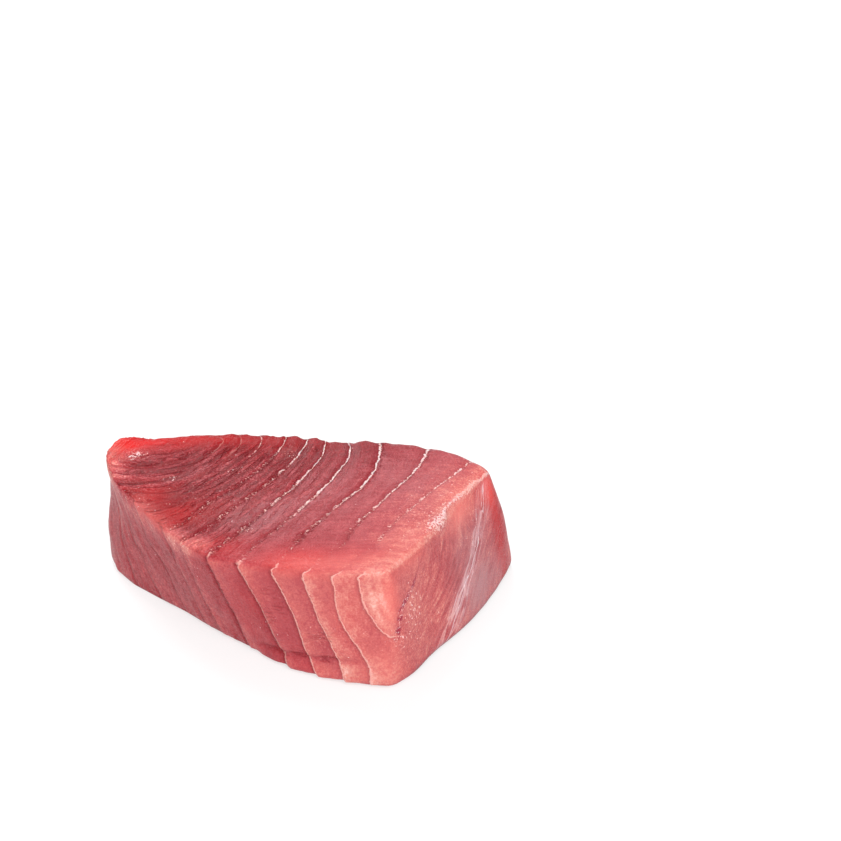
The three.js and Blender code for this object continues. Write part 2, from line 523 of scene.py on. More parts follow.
# Strengths of the painted shade in the groove left of each thread, on top and on the sides.
GROOVE_SHADE_TOP = [0, 0.2, 0.3, 0.4, 0.6, 0.9, 1, 1, 0.9, 0.5, 0.2, 0, 0]
GROOVE_SHADE_SIDE = [0, 0.8, 1, 1.2, 1.2, 1.2, 1.4, 1, 0.5, 0.15, 0.1, 0.1, 0]
LINES_ACROSS = (-2, 3)  # how far across the core the threads start
LINES_OUT = (4.5, 6)  # in sheets
LINES_RIGHT = (-42, -29)
LINE_SELDOM = 0.2  # the strength of the few beads in front of a thread
SELDOM_GROWTH = (2.5, 4)  # in sheets
SELDOM_FADE = (9, 7.5)
RIM_LINE = 0.6
RIM_LINE_OUT = (5.6, 6)  # in sheets
HIGH_LINE = 0.4  # how much stronger a side's thread is near the top
HIGH_LINE_START = (29, 33)
BEADED_OUT = (2, 3.2)  # in sheets
TOP_WIDTH = 0.03  # half a thread's width, as a share of the flake's
TORN_SPREAD = 0.055  # how much wider it is where it is torn to beads
RIM_WIDTH = 0.02
SIDE_WIDTH = 0.045
BACK_WIDTH_LOSS = 0.018
FACES_BACK = (0, 0.6)
GROOVE_SHADE_START = (-24, -14)


def thread_masks(place, normal, top, side, number, across, edges):
    """The threads that the sheets' ends make, and the painted shade in the grooves beside them."""
    rim, thin_edge, _, _ = edges
    out_of_core = max(soft_step(number, *LINES_OUT), soft_step(place.x, *LINES_RIGHT))
    out_of_core *= soft_step(across, *LINES_ACROSS)
    gone = between(LINE_GONE, number)
    kept = min(1.0, max(0.0, (place.y - gone) / (between(LINE_WHOLE, number) - gone)))
    seldom = LINE_SELDOM * soft_step(number, *SELDOM_GROWTH) * soft_step(number, *SELDOM_FADE)
    line_top = between(LINE_TOP, number) * max(kept, seldom) * out_of_core
    line_top += RIM_LINE * rim * soft_step(number, *RIM_LINE_OUT)
    line_side = between(LINE_SIDE, number) * (1 + HIGH_LINE * soft_step(place.z, *HIGH_LINE_START))
    width_top = TOP_WIDTH + TORN_SPREAD * (1 - kept) * (1 - rim) + RIM_WIDTH * rim
    width_side = SIDE_WIDTH - BACK_WIDTH_LOSS * soft_step(normal.y, *FACES_BACK)
    groove_shade_top = between(GROOVE_SHADE_TOP, number) * out_of_core * soft_step(place.y, *GROOVE_SHADE_START)
    groove_shade_side = between(GROOVE_SHADE_SIDE, number) * (1 - thin_edge)
    return {
        "line": line_top * top + line_side * side,
        "width": width_top * top + width_side * (1 - top),
        "groove_shade": groove_shade_top * top + groove_shade_side * side,
        "beaded": top * (1 - rim) * soft_step(number, *BEADED_OUT),
    }


STREAKED_TOP = [1.2, 1.2, 1.2, 1.2, 1.1, 1.1, 1, 0.5, 0.25, 0.15, 0.1, 0.1, 0.1]
FIBRED_TOP = [0, 0, 0, 0, 0.2, 0.4, 0.6, 0.8, 1, 1, 0.9, 0.8, 0.6]
STREAKED_SIDE = [0.8, 0.8, 0.8, 0.8, 0.8, 0.6, 0.3, 0.15, 0.15, 0.15, 0.15, 0.2, 0.1]
STREAKED_RIGHT = 1.4
GRAINY_TOP = [2.1, 2.1, 2.1, 2.1, 2, 1.8, 1.6, 1.4, 1.1, 0.85, 0.7, 0.7, 0.7]
GRAINY_SIDE = [1.2, 1.2, 1.2, 1.2, 1.2, 1, 0.6, 0.5, 0.4, 0.35, 0.35, 0.4, 0.4]
GRAINY_RIGHT = 0.8
SMOOTH_BACK = (27.5, 30.5)
SMOOTH_FRONT = (-8, -18)
SMOOTH_OUT = (5, 7)  # in sheets
SMOOTHER = 0.4
SMOOTH_PATCHES = [(1, (-50, 30, 36), (9, 7, 6)), (0.3, (-40, 1, 35), (8, 8, 4))]
LEAST_STREAKED = 0.1
STREAKED_START = (-32, -14)
ARCED_CORE = 0.4
ARCED_OUT = (4.5, 3)  # in sheets


def fibre_masks(place, top, side, right, number):
    """How much the fibres streak and grain the flesh."""
    smooth_front = SMOOTHER * soft_step(place.y, *SMOOTH_FRONT) * soft_step(number, *SMOOTH_OUT)
    smooth = soft_step(place.y, *SMOOTH_BACK) + smooth_front + patches(place, SMOOTH_PATCHES)
    streaked_top = between(STREAKED_TOP, number) * max(LEAST_STREAKED, 1 - smooth)
    streaked_side = between(STREAKED_SIDE, number) * (1 - right)
    streaked_side += STREAKED_RIGHT * soft_step(place.y, *STREAKED_START) * soft_step(right, 0.5, 1)
    grainy_top = between(GRAINY_TOP, number) * (1 - smooth_front)
    return {
        "streaked": streaked_top * top + streaked_side * (1 - top),
        "arced": streaked_top * top * (1 + ARCED_CORE * soft_step(number, *ARCED_OUT)),
        "fibred": between(FIBRED_TOP, number) * top,
        "grainy": grainy_top * top + between(GRAINY_SIDE, number) * side + GRAINY_RIGHT * right,
    }


SILVER_STRENGTH = 0.95
SILVER_REACH = 3.4
SILVER_TAPER = 1.4  # how much narrower it is at its upper end
SILVER_TAPER_HIGH = (22, 28)
SILVER_HIGH = (38, 26)
SILVER_FOOT_LOSS = 0.5
SILVER_LOW = (9, 3)
SILVER_GAP = [(0.6, (48, 10, 22.5), (6, 4, 4))]


def silver_mask(place, right):
    """The silvery streak that runs up the right side."""
    reach = SILVER_REACH - SILVER_TAPER * soft_step(place.z, *SILVER_TAPER_HIGH)
    strip = hump(beside_silver(place), 0, reach)
    silver = SILVER_STRENGTH * right * strip * soft_step(place.z, *SILVER_HIGH)
    silver *= 1 - SILVER_FOOT_LOSS * soft_step(place.z, *SILVER_LOW)
    return silver * (1 - patches(place, SILVER_GAP))


VEIN_LEFT, VEIN_FOOT = 22, 12  # it lies right of and over these
VEIN_PATH = [
    (32.7, -16.4, 34.1),
    (31.3, -21.3, 31),
    (29.5, -26, 27.4),
    (27.4, -30.3, 24.3),
    (26.1, -32.7, 22.2),
    (25.3, -34.5, 15.3),
]
VEIN_REACH = 2.6
VEIN_FAINT = 0.62  # its strength at its upper end
VEIN_HIGH = (29, 25)
BLOTCH_PATH = [(49.5, 14, 27), (47.6, 8.7, 21.3), (45.4, 4.8, 18.5)]
BLOTCH = 0.66
BLOTCH_REACH = 3


def vein_mask(place):
    """The cut vein behind the front corner, and the blotches of blood further back."""
    if place.x <= VEIN_LEFT or place.z <= VEIN_FOOT:
        return 0.0
    vein = max(0.0, 1 - path_gap(place, VEIN_PATH) / VEIN_REACH)
    vein *= VEIN_FAINT + (1 - VEIN_FAINT) * soft_step(place.z, *VEIN_HIGH)
    return max(vein, BLOTCH - path_gap(place, BLOTCH_PATH) / BLOTCH_REACH)


# Painted glow of light shining through thin flesh, partly the flesh's own bright red.
PAINTED_GLOW_AND_RED_PATCHES = [
    # the narrow end
    (1, (-51, 31.5, 36), (8, 5, 6)),
    (0.4, (-54, 22, 35), (4, 8, 5)),
    # the back edge
    (0.75, (-36, 32, 37), (16, 4, 5)),
    (0.3, (-8, 31, 37), (18, 4, 5)),
    # the front of the top
    (0.5, (-42, 4, 35), (6, 5, 4)),
    (0.46, (-34, -4, 34), (8, 4.5, 4)),
    (0.2, (-24, 0, 34), (9, 4, 4)),
    (0.35, (-21, -17, 33), (6, 5, 3)),
    (0.35, (-3, -25, 34.5), (9, 5, 3)),
    (0.3, (5, -26, 35), (24, 6, 3)),
    # the right side and its top edge
    (0.14, (43, 3, 31), (6, 9, 3.5)),
    (0.2, (46.5, 12, 30.5), (4, 6, 4)),
    (0.9, (49.7, 17, 29.5), (2.5, 2.4, 5)),
    (0.25, (49, 15, 30), (4, 5, 5)),
    (0.15, (36, -16, 20), (14, 14, 14)),
    # the front corner and the long side
    (0.25, (23.5, -35, 29), (3, 3, 7)),
    (0.18, (12, -34, 22), (4, 4, 8)),
    (0.12, (-14, -24, 18), (5, 5, 12)),
    (0.16, (3, -29, 3), (14, 5, 2.5)),
]
LIT_PATCHES = [
    # the edges, with painted light shining through them
    (1, (42, 2, 31), (5, 9, 4)),
    (0.35, (49.5, 15, 29), (3.5, 6, 6)),
    (0.4, (30, -22, 33), (6, 10, 3)),
    (0.35, (5, -29, 34.5), (22, 4, 2.5)),
    (0.5, (-55, 26, 35), (3, 8, 4)),
    # the front corner, with painted light shining through it
    (0.6, (24, -34.5, 27), (3, 3, 8)),
    (0.3, (24, -36, 8), (8, 5, 8)),
]
# A mauve film, partly the flesh's real connective film and partly a painted sheen of reflected light.
FILM_AND_SHEEN_PATCHES = [
    # the top
    (0.5, (-12, -3, 34), (12, 10, 6)),
    (0.15, (-30, 15, 35), (12, 6, 4)),
    (0.3, (6, 8, 35), (12, 20, 6)),
    (0.22, (8, 27, 36), (20, 8, 5)),
    (0.3, (30, 12, 35), (12, 14, 4)),
    # the left end's side
    (0.1, (-36, -4, 18), (16, 16, 16)),
    # the right side
    (1, (50, 5, 8), (6, 10, 9)),
    (0.6, (45, -5, 6), (7, 7, 5)),
    (0.5, (44, -2, 18), (7, 10, 11)),
]
# Painted glints of wet highlights, and pale pink specks round them.
GLINT_AND_SPECK_PATCHES = [
    # the narrow end and the top near it
    (1.8, (-48, 25, 35), (3, 3, 3)),
    (1.2, (-36.7, 13.2, 35.3), (3, 1, 2)),
    (0.25, (-22, 8, 35), (18, 14, 4)),
    (0.5, (-48, 4, 33), (7, 10, 4)),
    # knots in the sheets' ends
    (1, (-20.5, 17.2, 36), (3, 1.5, 2)),
    (1, (-4.8, 24.4, 36.5), (2, 3, 2)),
    (1.2, (-15.3, -10.2, 34), (2.5, 1.5, 2)),
    (0.9, (-31.6, -15.1, 31.7), (2.5, 1, 2)),
    # the thick end
    (0.6, (31, -8, 35), (8, 12, 3)),
    (0.6, (40, 8, 34), (8, 10, 3)),
    (0.6, (46, 6, 22), (5, 9, 8)),
    # round the vein and on the long side
    (1, (29, -28, 20), (3, 5, 9)),
    (0.4, (33, -20, 18), (6, 8, 9)),
    (0.7, (26, -34, 14), (4, 3, 6)),
    (0.4, (12, -33, 14), (12, 6, 7)),
]
# Painted shade in short cracks of the cut surface.
CRACK_SHADE_PATCHES = [
    (0.5, (-8, -27, 20), (4, 6, 8)),
    (0.3, (4, -31, 6), (14, 8, 3)),
    (0.5, (6, -32, 14), (7, 6, 3)),
    (0.5, (-38, 2, 34), (7, 5, 4)),
]
# how much painted glow the red back edge of the right side gets
RED_EDGE_GLOW = 0.55
# painted light on the step below the thin left edge
STEP_LIT = 0.45
# film with painted sheen on the step and the thin left edge
STEP_FILM_AND_SHEEN = 0.15
THIN_EDGE_FILM_AND_SHEEN = 0.1
# painted shade in cracks along the fold over the lip
FOLD_CRACK_SHADE = 0.35


def looks(place, normal, top, right, number, across):
    """The masks that the material reads, each from about 0 to 1."""
    side = (1 - top) * (1 - right)
    edges = edge_marks(place, normal, right)
    _, thin_edge, step, red_edge = edges
    return {
        "pale": paleness(place, top, side, right, number, edges),
        # painted glow through thin flesh, partly its own bright red
        "painted_glow_and_red": patches(place, PAINTED_GLOW_AND_RED_PATCHES) + RED_EDGE_GLOW * red_edge,
        # painted light shining through thin edges
        "lit": patches(place, LIT_PATCHES) + STEP_LIT * step * step,
        # mauve film with painted sheen
        "film_and_sheen": patches(place, FILM_AND_SHEEN_PATCHES) + THIN_EDGE_FILM_AND_SHEEN * thin_edge + STEP_FILM_AND_SHEEN * step,
        # painted glints and pale pink specks
        "glints_and_specks": patches(place, GLINT_AND_SPECK_PATCHES),
        # painted shade in cracks
        "crack_shade": patches(place, CRACK_SHADE_PATCHES) + FOLD_CRACK_SHADE * foot_lip(place)[1] * side,
        "silver": silver_mask(place, right),
        "vein": vein_mask(place),
        **thread_masks(place, normal, top, side, number, across, edges),
        **fibre_masks(place, top, side, right, number),
    }


TOP_TINT = (0.3, 0.8)  # how far the normal rises where the top's tints start
RIGHT_TINT = (0.55, 0.8)  # how far it points right where those of the right side start
MASKS = ("pale", "streaked", "painted_glow_and_red", "film_and_sheen", "glints_and_specks", "crack_shade", "line", "width", "groove_shade", "beaded")
MASKS += ("silver", "vein", "torn", "flake", "fibred", "arced", "grainy", "lit")
bm = bmesh.new()
bm.from_mesh(mesh)
bm.normal_update()
grain_layer = bm.verts.layers.float_vector.new("grain")
for mask in MASKS:
    bm.verts.layers.float.new(mask)
layers = {mask: bm.verts.layers.float[mask] for mask in MASKS}
moves = []
for vert in bm.verts:
    place = vert.co / MM
    top = soft_step(vert.normal.z, *TOP_TINT)
    right = soft_step(vert.normal.x, *RIGHT_TINT) * (1 - top)
    along, across = beside_core(place)
    number = flake_number(place, along, across, top)
    grain = Vector((grain_across(place, top, right, number), along, place.z))
    torn = torn_edge(place)
    shown = looks(place, vert.normal, top, right, number, across)
    vert[grain_layer] = grain
    for mask, value in (shown | {"torn": torn, "flake": number}).items():
        vert[layers[mask]] = value
    moves.append(vert.normal * relief(place, vert.normal, number, grain, torn) * MM)
for vert, move in zip(bm.verts, moves):
    vert.co += move
for face in bm.faces:
    face.smooth = True
bm.to_mesh(mesh)
bm.free()

# Raw tuna flesh: wet muscle, cut clean. Light sinks into it a little, so its edges glow, and its
# moisture gives broad soft highlights, which break up on the sheets' ends. Besides these, a glow at
# thin edges, a mauve sheen, glints, and shade and shadows are painted into its colour.
WINE = "#700d15"
MAUVE_WINE = "#891e26"
ROSE = "#9f3c43"
CORAL = "#b24e53"
SALMON = "#c86764"
PEACH = "#d98d82"
PALE_PEACH = "#e7b5aa"
# the painted glow of light through thin flesh, and the flesh's own bright red
PAINTED_GLOW_AND_BRIGHT_RED = "#d42525"
# the painted colour of light shining through an edge
LIT_CORAL = "#ee7a70"
# mauve film with a painted sheen of reflected light
FILM_AND_SHEEN_MAUVE = "#b58286"
SILVER = "#f4e0e6"
TISSUE_PINK = "#eca59b"
# the white of torn tissue, also used for painted glints
TISSUE_WHITE_AND_GLINT = "#ffe2e1"
# painted shade in grooves, seams, cracks and pits
GROOVE_SHADE = "#830d1c"
BLOOD = "#940d35"


def linear(code):
    """An sRGB hex code as the linear colour that the shader takes."""
    parts = [int(code[i : i + 2], 16) / 255 for i in (1, 3, 5)]
    return [c / 12.92 if c <= 0.04045 else ((c + 0.055) / 1.055) ** 2.4 for c in parts] + [1]


def add(tree, kind, output, inputs=(), **settings):
    """Adds a node, sets it up, fills or links its inputs by name or number, and returns an output."""
    made = tree.nodes.new(kind)
    for name, value in settings.items():
        setattr(made, name, value)
    for name, value in inputs:
        if isinstance(value, bpy.types.NodeSocket):
            tree.links.new(value, made.inputs[name])
        else:
            made.inputs[name].default_value = value
    return None if output is None else made.outputs[output]


flesh = bpy.data.materials.new("raw_tuna_muscle")
flesh.use_nodes = True
tree = flesh.node_tree
tree.nodes.clear()
coords = add(tree, "ShaderNodeTexCoord", "Object")
grain = add(tree, "ShaderNodeAttribute", "Vector", attribute_name="grain")
masks = {mask: add(tree, "ShaderNodeAttribute", "Fac", attribute_name=mask) for mask in MASKS}

# The patterns' sizes in mm. WAVER bends the sheets' ends, BEAD and SPARKLE break them into beads and
# painted glints, DROP is that of a painted glint or speck and CLOUD that of the muscle's unevenness.
# The others are across its fibres, along them and down, and FIBRE's are right, back and up, as the
# fibres cross the pale flakes.
WAVER = 1.8
BEAD = 0.8
SPARKLE = 0.5
DROP = 0.9
CLOUD = 5
STREAK = (1.6, 11, 6)
SWELL = (3.2, 20, 12)
FIBRE = (8, 1.2, 0.9)
RIDGE = 1.4
RIDGE_BEND = 4.5
waver = add(
    tree,
    "ShaderNodeTexNoise",
    "Fac",
    [("Vector", coords), ("Scale", 1 / (WAVER * MM)), ("Detail", 2)],
)
beads = add(
    tree,
    "ShaderNodeTexNoise",
    "Fac",
    [("Vector", coords), ("Scale", 1 / (BEAD * MM)), ("Detail", 3), ("Roughness", 0.7)],
)
sparkle = add(
    tree,
    "ShaderNodeTexNoise",
    "Fac",
    [("Vector", coords), ("Scale", 1 / (SPARKLE * MM)), ("Detail", 2), ("Roughness", 0.6)],
)
clouds = add(
    tree,
    "ShaderNodeTexNoise",
    "Fac",
    [("Vector", coords), ("Scale", 1 / (CLOUD * MM)), ("Detail", 5)],
)
lengthwise = add(
    tree,
    "ShaderNodeMapping",
    0,
    [("Vector", grain), ("Scale", [1 / size for size in STREAK])],
)
streaks = add(
    tree,
    "ShaderNodeTexNoise",
    "Fac",
    [("Vector", lengthwise), ("Scale", 1), ("Detail", 3), ("Roughness", 0.6), ("Distortion", 0.6)],
)
wider = add(tree, "ShaderNodeMapping", 0, [("Vector", grain), ("Scale", [1 / size for size in SWELL])])
swells = add(
    tree,
    "ShaderNodeTexNoise",
    "Fac",
    [("Vector", wider), ("Scale", 1), ("Detail", 2), ("Distortion", 0.4)],
)
beside = add(tree, "ShaderNodeSeparateXYZ", 0, [(0, grain)])
bent = add(
    tree,
    "ShaderNodeMath",
    0,
    [(0, streaks), (1, RIDGE_BEND), (2, beside)],
    operation="MULTIPLY_ADD",
)
spread = add(tree, "ShaderNodeMath", 0, [(0, bent), (1, RIDGE)], operation="PINGPONG")
crosswise = add(
    tree,
    "ShaderNodeMapping",
    0,
    [("Vector", coords), ("Scale", [1 / (size * MM) for size in FIBRE])],
)
fibres = add(tree, "ShaderNodeTexNoise", "Fac", [("Vector", crosswise), ("Scale", 1), ("Detail", 3)])

# The sheets' ends. Each is a pale thread, broken into beads with painted glints on top, with painted
# shade in the groove on its left and in the pits beside its beads.
# A place's flake value is a whole number on each sheet, so a ping-pong gives its gap to the nearest.
shift = add(tree, "ShaderNodeMapRange", 0, [(0, waver), (1, 0.3), (2, 0.7), (3, -0.7), (4, 0.7)])
wavy = add(
    tree,
    "ShaderNodeMath",
    0,
    [(0, shift), (1, masks["width"]), (2, masks["flake"])],
    operation="MULTIPLY_ADD",
)
gap = add(tree, "ShaderNodeMath", 0, [(0, wavy), (1, 0.5)], operation="PINGPONG")
into_flake = add(tree, "ShaderNodeMath", 0, [(0, wavy)], operation="FRACT")
knots = add(tree, "ShaderNodeMath", 0, [(0, waver), (1, 0.7), (2, sparkle)], operation="MULTIPLY_ADD")
swollen = add(tree, "ShaderNodeMapRange", 0, [(0, knots), (1, 0.68), (2, 1.02), (3, 0.5), (4, 1.6)])
breadth = add(tree, "ShaderNodeMath", 0, [(0, masks["width"]), (1, swollen)], operation="MULTIPLY")
thread = add(
    tree,
    "ShaderNodeMapRange",
    0,
    [(0, gap), (1, 0.012), (2, breadth), (3, 1), (4, 0)],
    interpolation_type="SMOOTHSTEP",
)
likely = add(
    tree,
    "ShaderNodeMath",
    0,
    [(0, masks["line"]), (1, 0.4), (2, knots)],
    operation="MULTIPLY_ADD",
)
broken = add(tree, "ShaderNodeMapRange", 0, [(0, likely), (1, 1.02), (2, 1.12), (3, 0), (4, 1)])
strength = add(tree, "ShaderNodeMix", 0, [(0, masks["beaded"]), (2, masks["line"]), (3, broken)])
drawn = add(tree, "ShaderNodeMath", 0, [(0, thread), (1, strength)], operation="MULTIPLY", use_clamp=True)
# Painted shade in the groove on each thread's left, and in the pits beside its beads.
beside_thread = add(
    tree,
    "ShaderNodeMapRange",
    0,
    [(0, gap), (1, 0.02), (2, 0.12), (3, 1), (4, 0)],
    interpolation_type="SMOOTHSTEP",
)
leftward = add(
    tree,
    "ShaderNodeMapRange",
    0,
    [(0, into_flake), (1, 0.77), (2, 0.97), (3, 0), (4, 1)],
    interpolation_type="SMOOTHSTEP",
)
uneven = add(tree, "ShaderNodeMapRange", 0, [(0, waver), (1, 0.3), (2, 0.62), (3, 0.4), (4, 1)])
groove_shade = add(tree, "ShaderNodeMath", 0, [(0, masks["groove_shade"]), (1, uneven)], operation="MULTIPLY")
dark = add(tree, "ShaderNodeMath", 0, [(0, leftward), (1, groove_shade)], operation="MULTIPLY")
pitted = add(tree, "ShaderNodeMapRange", 0, [(0, beads), (1, 0.5), (2, 0.42), (3, 0), (4, 1.4)])
torn_ends = add(tree, "ShaderNodeMath", 0, [(0, beside_thread), (1, masks["beaded"])], operation="MULTIPLY")
pits = add(tree, "ShaderNodeMath", 0, [(0, pitted), (1, torn_ends)], operation="MULTIPLY")
dots = add(
    tree,
    "ShaderNodeMath",
    0,
    [(0, pits), (1, masks["groove_shade"])],
    operation="MULTIPLY",
    use_clamp=True,
)

# The muscle's colour, from wine near the core to peach at the thick end, streaked by its fibres. Its
# paleness also holds painted shade across the flakes, a painted highlight on the front rim and painted
# shadow at the foot and in the fold.
streak_shift = add(tree, "ShaderNodeMapRange", 0, [(0, streaks), (1, 0.36), (2, 0.64), (3, -0.1), (4, 0.1)])
ridge_shift = add(tree, "ShaderNodeMapRange", 0, [(0, spread), (1, 0), (2, RIDGE), (3, -0.11), (4, 0.13)])
ridged = add(
    tree,
    "ShaderNodeMath",
    0,
    [(0, ridge_shift), (1, masks["arced"]), (2, masks["pale"])],
    operation="MULTIPLY_ADD",
)
streaked = add(
    tree,
    "ShaderNodeMath",
    0,
    [(0, streak_shift), (1, masks["streaked"]), (2, ridged)],
    operation="MULTIPLY_ADD",
)
fibre_shift = add(tree, "ShaderNodeMapRange", 0, [(0, fibres), (1, 0.3), (2, 0.7), (3, -0.09), (4, 0.09)])
fibred = add(
    tree,
    "ShaderNodeMath",
    0,
    [(0, fibre_shift), (1, masks["fibred"]), (2, streaked)],
    operation="MULTIPLY_ADD",
)
cloud_shift = add(tree, "ShaderNodeMapRange", 0, [(0, clouds), (1, 0.3), (2, 0.7), (3, -0.06), (4, 0.06)])
clouded = add(tree, "ShaderNodeMath", 0, [(0, fibred), (1, cloud_shift)], operation="ADD")
bead_shift = add(tree, "ShaderNodeMapRange", 0, [(0, beads), (1, 0.3), (2, 0.7), (3, -0.065), (4, 0.065)])
mottle_shift = add(tree, "ShaderNodeMapRange", 0, [(0, waver), (1, 0.3), (2, 0.7), (3, -0.065), (4, 0.065)])
grain_shift = add(tree, "ShaderNodeMapRange", 0, [(0, sparkle), (1, 0.35), (2, 0.65), (3, -0.1), (4, 0.12)])
mottled = add(tree, "ShaderNodeMath", 0, [(0, mottle_shift), (1, grain_shift)], operation="ADD")
grained = add(
    tree,
    "ShaderNodeMath",
    0,
    [(0, mottled), (1, masks["grainy"]), (2, clouded)],
    operation="MULTIPLY_ADD",
)
tint = add(tree, "ShaderNodeMath", 0, [(0, bead_shift), (1, grained)], operation="ADD")
ramp_node = tree.nodes.new("ShaderNodeValToRGB")
tree.links.new(tint, ramp_node.inputs["Fac"])
ramp = ramp_node.color_ramp.elements
ramp[0].color = linear(WINE)
ramp[1].color = linear(PALE_PEACH)
for position, code in ((0.2, MAUVE_WINE), (0.4, ROSE), (0.58, CORAL), (0.74, SALMON), (0.88, PEACH)):
    ramp.new(position).color = linear(code)


def tinted(base, mask, share, code):
    """The base colour, turned to another one by a share where the mask is 1."""
    amount = add(tree, "ShaderNodeMath", 0, [(0, mask), (1, share)], operation="MULTIPLY", use_clamp=True)
    inputs = [(0, amount), (6, base), (7, linear(code))]
    return add(tree, "ShaderNodeMix", 2, inputs, data_type="RGBA")


bloody = add(tree, "ShaderNodeMapRange", 0, [(0, swells), (1, 0.5), (2, 0.38), (3, 0), (4, 0.09)])
redder = add(
    tree,
    "ShaderNodeMath",
    0,
    [(0, bloody), (1, masks["arced"]), (2, masks["painted_glow_and_red"])],
    operation="MULTIPLY_ADD",
)
# Painted glow of light through thin flesh, partly its own bright red, with red streaks in the arcs.
colour = tinted(ramp_node.outputs[0], redder, 0.8, PAINTED_GLOW_AND_BRIGHT_RED)
# Painted light shining through the thin edges and the front corner.
colour = tinted(colour, masks["lit"], 0.8, LIT_CORAL)
# A mauve film with a painted sheen of reflected light, in patches.
film_patchiness = add(tree, "ShaderNodeMapRange", 0, [(0, swells), (1, 0.4), (2, 0.62), (3, 0.4), (4, 0.9)])
filmed_and_sheened = add(tree, "ShaderNodeMath", 0, [(0, film_patchiness), (1, masks["film_and_sheen"])], operation="MULTIPLY")
colour = tinted(colour, filmed_and_sheened, 0.8, FILM_AND_SHEEN_MAUVE)
silk = add(tree, "ShaderNodeMapRange", 0, [(0, streaks), (1, 0.42), (2, 0.62), (3, 0), (4, 0.5)])
fine_strands = add(tree, "ShaderNodeMapRange", 0, [(0, spread), (1, 0.06), (2, 0.32), (3, 1), (4, 0)])
strands = add(tree, "ShaderNodeMath", 0, [(0, fine_strands), (1, silk)], operation="MAXIMUM")
silvered = add(tree, "ShaderNodeMath", 0, [(0, strands), (1, masks["silver"])], operation="MULTIPLY")
colour = tinted(colour, silvered, 0.9, SILVER)
# Painted shade in short cracks across the fibres.
gaping = add(
    tree,
    "ShaderNodeMath",
    0,
    [(0, masks["crack_shade"]), (1, -0.2), (2, fibres)],
    operation="MULTIPLY_ADD",
)
cracks = add(tree, "ShaderNodeMapRange", 0, [(0, gaping), (1, 0.28), (2, 0.38), (3, 1), (4, 0)])
crack_shade = add(tree, "ShaderNodeMath", 0, [(0, cracks), (1, masks["crack_shade"])], operation="MULTIPLY")
# Painted shade in the cracks, in the grooves left of the threads and in the pits by their beads.
crack_and_groove_shade = add(tree, "ShaderNodeMath", 0, [(0, crack_shade), (1, dark)], operation="MAXIMUM")
cut = add(tree, "ShaderNodeMath", 0, [(0, crack_and_groove_shade), (1, dots)], operation="MAXIMUM")
colour = tinted(colour, cut, 0.85, GROOVE_SHADE)
# Painted shade in fine seams between the fibres.
contours = add(tree, "ShaderNodeMath", 0, [(0, swells), (1, 0.08)], operation="PINGPONG")
narrow = add(tree, "ShaderNodeMapRange", 0, [(0, contours), (1, 0.004), (2, 0.022), (3, 1), (4, 0)])
patchy = add(tree, "ShaderNodeMapRange", 0, [(0, waver), (1, 0.42), (2, 0.58), (3, 0.1), (4, 1)])
seamed = add(tree, "ShaderNodeMath", 0, [(0, narrow), (1, patchy)], operation="MULTIPLY")
seams = add(tree, "ShaderNodeMath", 0, [(0, seamed), (1, masks["arced"])], operation="MULTIPLY")
colour = tinted(colour, seams, 0.22, GROOVE_SHADE)
# Painted glints on the threads' knots, whiter than the pink thread.
knot_glints = add(tree, "ShaderNodeMapRange", 0, [(0, likely), (1, 1.06), (2, 1.3), (3, 0), (4, 1)])
whiter = add(tree, "ShaderNodeMath", 0, [(0, knot_glints), (1, masks["beaded"])], operation="MULTIPLY")
tissue = add(
    tree,
    "ShaderNodeMix",
    2,
    [(0, whiter), (6, linear(TISSUE_PINK)), (7, linear(TISSUE_WHITE_AND_GLINT))],
    data_type="RGBA",
)
inked = add(tree, "ShaderNodeMath", 0, [(0, drawn), (1, 0.95)], operation="MULTIPLY")
colour = add(tree, "ShaderNodeMix", 2, [(0, inked), (6, colour), (7, tissue)], data_type="RGBA")
shreds = add(
    tree,
    "ShaderNodeMath",
    0,
    [(0, masks["torn"]), (1, 0.3), (2, sparkle)],
    operation="MULTIPLY_ADD",
)
ragged = add(tree, "ShaderNodeMapRange", 0, [(0, shreds), (1, 0.7), (2, 0.84), (3, 0), (4, 1)])
torn = add(tree, "ShaderNodeMath", 0, [(0, ragged), (1, masks["torn"])], operation="MULTIPLY")
colour = tinted(colour, torn, 0.8, TISSUE_WHITE_AND_GLINT)
# Painted glints as small white dots, and pale pink specks round them.
drops = add(
    tree,
    "ShaderNodeTexNoise",
    "Fac",
    [("Vector", coords), ("Scale", 1 / (DROP * MM)), ("Detail", 2), ("Roughness", 0.6)],
)
crowded = add(
    tree,
    "ShaderNodeMath",
    0,
    [(0, masks["glints_and_specks"]), (1, 0.14), (2, drops)],
    operation="MULTIPLY_ADD",
)
glints_and_specks = add(tree, "ShaderNodeMapRange", 0, [(0, crowded), (1, 0.74), (2, 0.79), (3, 0), (4, 1)])
colour = tinted(colour, glints_and_specks, 0.8, TISSUE_WHITE_AND_GLINT)
dusted = add(tree, "ShaderNodeMapRange", 0, [(0, sparkle), (1, 0.56), (2, 0.66), (3, 0), (4, 1)])
dust = add(tree, "ShaderNodeMath", 0, [(0, dusted), (1, masks["glints_and_specks"])], operation="MULTIPLY")
colour = tinted(colour, dust, 0.45, TISSUE_PINK)
clots = add(tree, "ShaderNodeMapRange", 0, [(0, waver), (1, 0.42), (2, 0.58), (3, 0), (4, 1)])
in_vein = add(tree, "ShaderNodeMapRange", 0, [(0, masks["vein"]), (1, 0.45), (2, 0.7), (3, 0), (4, 1)])
vein = add(tree, "ShaderNodeMath", 0, [(0, clots), (1, in_vein)], operation="MULTIPLY")
colour = tinted(colour, vein, 0.85, BLOOD)
